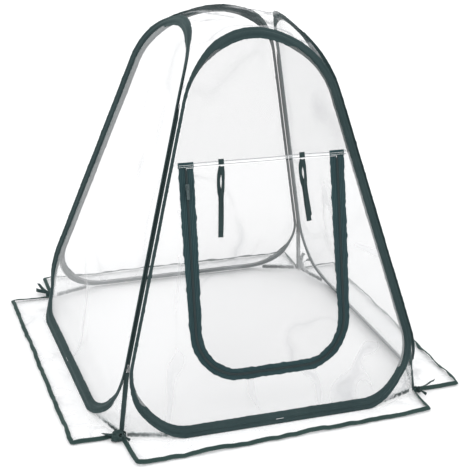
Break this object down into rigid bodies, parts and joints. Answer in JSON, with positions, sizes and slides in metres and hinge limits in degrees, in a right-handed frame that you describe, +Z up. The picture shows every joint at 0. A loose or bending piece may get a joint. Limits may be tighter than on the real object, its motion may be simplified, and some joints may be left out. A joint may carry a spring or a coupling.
{
  "type": "mini pop up greenhouse",
  "caption": "Small free-standing pop-up plant house: sprung fabric hoops hold leaning clear film walls and roof, with a zipped roll-up door and ground flaps.",
  "frame": {"origin": "on the ground under the centre of the plant house", "axes": "+Z up; the zipped door faces -Y; the left wall faces -X, seen from in front of the door"},
  "size_m": [0.9198, 0.9198, 0.82],
  "materials": {
    "clear_film": "clear soft vinyl film with a slight haze and handling wrinkles",
    "film_seam": "doubled and stitched vinyl, semi-clear",
    "sleeve_cloth": "woven polyester, dark slate green",
    "binding_tape": "folded woven binding, dark green",
    "seam_tape": "narrow woven tape, dark green",
    "zip_tape": "knitted zip tape, dark bluish green",
    "zip_coil": "moulded nylon coil",
    "slider_metal": "enamelled die-cast zinc",
    "ribbon": "flat woven ribbon",
    "spring_steel": "blued flat spring steel",
    "ferrule_metal": "crimped aluminium tube"
  },
  "bodies": {
    "left_wall": {"left_sleeve": "sleeve_cloth", "left_spring_hoop": "spring_steel", "left_ferrule": "ferrule_metal", "left_hem_tape": "seam_tape", "left_hem_film": "clear_film", "left_gusset_at_back": "clear_film", "left_gusset_at_front": "clear_film", "left_film": "clear_film", "front_left_corner_seam": "seam_tape", "front_left_corner_tie": "ribbon", "back_left_corner_seam": "seam_tape", "back_left_corner_tie": "ribbon", "roof_film": "clear_film"},
    "front_wall": {"front_sleeve": "sleeve_cloth", "front_spring_hoop": "spring_steel", "front_ferrule": "ferrule_metal", "front_hem_tape": "seam_tape", "front_hem_film": "clear_film", "front_gusset_at_left": "clear_film", "front_gusset_at_right": "clear_film", "front_upper_film": "clear_film", "front_lower_film": "clear_film", "front_seam_tape": "film_seam", "zip_tape_outer": "zip_tape", "zip_coil_outer": "zip_coil", "front_right_corner_seam": "seam_tape", "front_right_corner_tie": "ribbon"},
    "back_wall": {"back_sleeve": "sleeve_cloth", "back_spring_hoop": "spring_steel", "back_ferrule": "ferrule_metal", "back_hem_tape": "seam_tape", "back_hem_film": "clear_film", "back_gusset_at_right": "clear_film", "back_gusset_at_left": "clear_film", "back_film": "clear_film", "back_right_corner_seam": "seam_tape", "back_right_corner_tie": "ribbon"},
    "right_wall": {"right_sleeve": "sleeve_cloth", "right_spring_hoop": "spring_steel", "right_ferrule": "ferrule_metal", "right_hem_tape": "seam_tape", "right_hem_film": "clear_film", "right_gusset_at_front": "clear_film", "right_gusset_at_back": "clear_film", "right_film": "clear_film"},
    "door": {"door_film": "clear_film", "zip_tape_inner": "zip_tape", "zip_coil_inner": "zip_coil"},
    "slider": {"zip_slider": "slider_metal"},
    "pull": {"zip_pull": "slider_metal"},
    "tie_left": {"door_tie_left": "ribbon"},
    "tie_right": {"door_tie_right": "ribbon"},
    "front_skirt": {"front_skirt_film": "clear_film", "front_skirt_binding": "binding_tape"},
    "left_skirt": {"left_skirt_film": "clear_film", "left_skirt_binding": "binding_tape"},
    "back_skirt": {"back_skirt_film": "clear_film", "back_skirt_binding": "binding_tape"},
    "right_skirt": {"right_skirt_film": "clear_film", "right_skirt_binding": "binding_tape"}
  },
  "joints": [
    {"name": "fold_front", "type": "hinge", "parent": "left_wall", "child": "front_wall", "pos_m": [-0.377, -0.377, 0], "axis": [0.2643, 0.2643, 0.9275], "range_deg": [0, 42], "stiffness_Nm_per_rad": 3, "deforming": ["roof_film", "front_gusset_at_left", "left_gusset_at_front", "front_left_corner_seam", "front_hem_tape", "left_hem_tape", "front_hem_film", "left_hem_film"]},
    {"name": "fold_back", "type": "hinge", "parent": "left_wall", "child": "back_wall", "pos_m": [-0.377, 0.377, 0], "axis": [0.2643, -0.2643, 0.9275], "range_deg": [0, 40.95], "deforming": ["left_gusset_at_back", "back_gusset_at_left", "back_left_corner_seam", "back_hem_tape", "back_hem_film"]},
    {"name": "fold_right", "type": "hinge", "parent": "back_wall", "child": "right_wall", "pos_m": [0.377, 0.377, 0], "axis": [-0.2643, -0.2643, 0.9275], "range_deg": [-42, 0], "deforming": ["back_gusset_at_right", "right_gusset_at_back", "back_right_corner_seam", "right_hem_tape", "right_hem_film", "right_gusset_at_front", "front_gusset_at_right", "front_right_corner_seam"]},
    {"name": "door_lift", "type": "hinge", "parent": "front_wall", "child": "door", "pos_m": [0, -0.21929, 0.55156], "axis": [-1, 0, 0], "range_deg": [0, 110]},
    {"name": "slider_run", "type": "slide", "parent": "door", "child": "slider", "axis": [0, 0.2741, 0.9617], "range_m": [-0.29, 0]},
    {"name": "pull_flip", "type": "hinge", "parent": "slider", "child": "pull", "pos_m": [-0.17662, -0.23604, 0.51449], "axis": [-1, 0, 0], "range_deg": [0, 150]},
    {"name": "tie_left_swing", "type": "hinge", "parent": "door", "child": "tie_left", "pos_m": [-0.093, -0.2236, 0.54788], "axis": [-1, 0, 0], "range_deg": [0, 45]},
    {"name": "tie_right_swing", "type": "hinge", "parent": "door", "child": "tie_right", "pos_m": [0.093, -0.2236, 0.54788], "axis": [-1, 0, 0], "range_deg": [0, 45]},
    {"name": "front_skirt_lift", "type": "hinge", "parent": "front_wall", "child": "front_skirt", "pos_m": [0, -0.39807, 0.0005], "axis": [-1, 0, 0], "range_deg": [0, 90]},
    {"name": "left_skirt_lift", "type": "hinge", "parent": "left_wall", "child": "left_skirt", "pos_m": [-0.39807, 0, 0.0005], "axis": [0, 1, 0], "range_deg": [0, 90]},
    {"name": "back_skirt_lift", "type": "hinge", "parent": "back_wall", "child": "back_skirt", "pos_m": [0, 0.39807, 0.0005], "axis": [1, 0, 0], "range_deg": [0, 90]},
    {"name": "right_skirt_lift", "type": "hinge", "parent": "right_wall", "child": "right_skirt", "pos_m": [0.39807, 0, 0.0005], "axis": [0, -1, 0], "range_deg": [0, 90]}
  ],
  "couplings": [
    {"joint": "fold_back", "follows": "fold_front", "ratio": 0.975},
    {"joint": "fold_right", "follows": "fold_front", "ratio": -1}
  ]
}
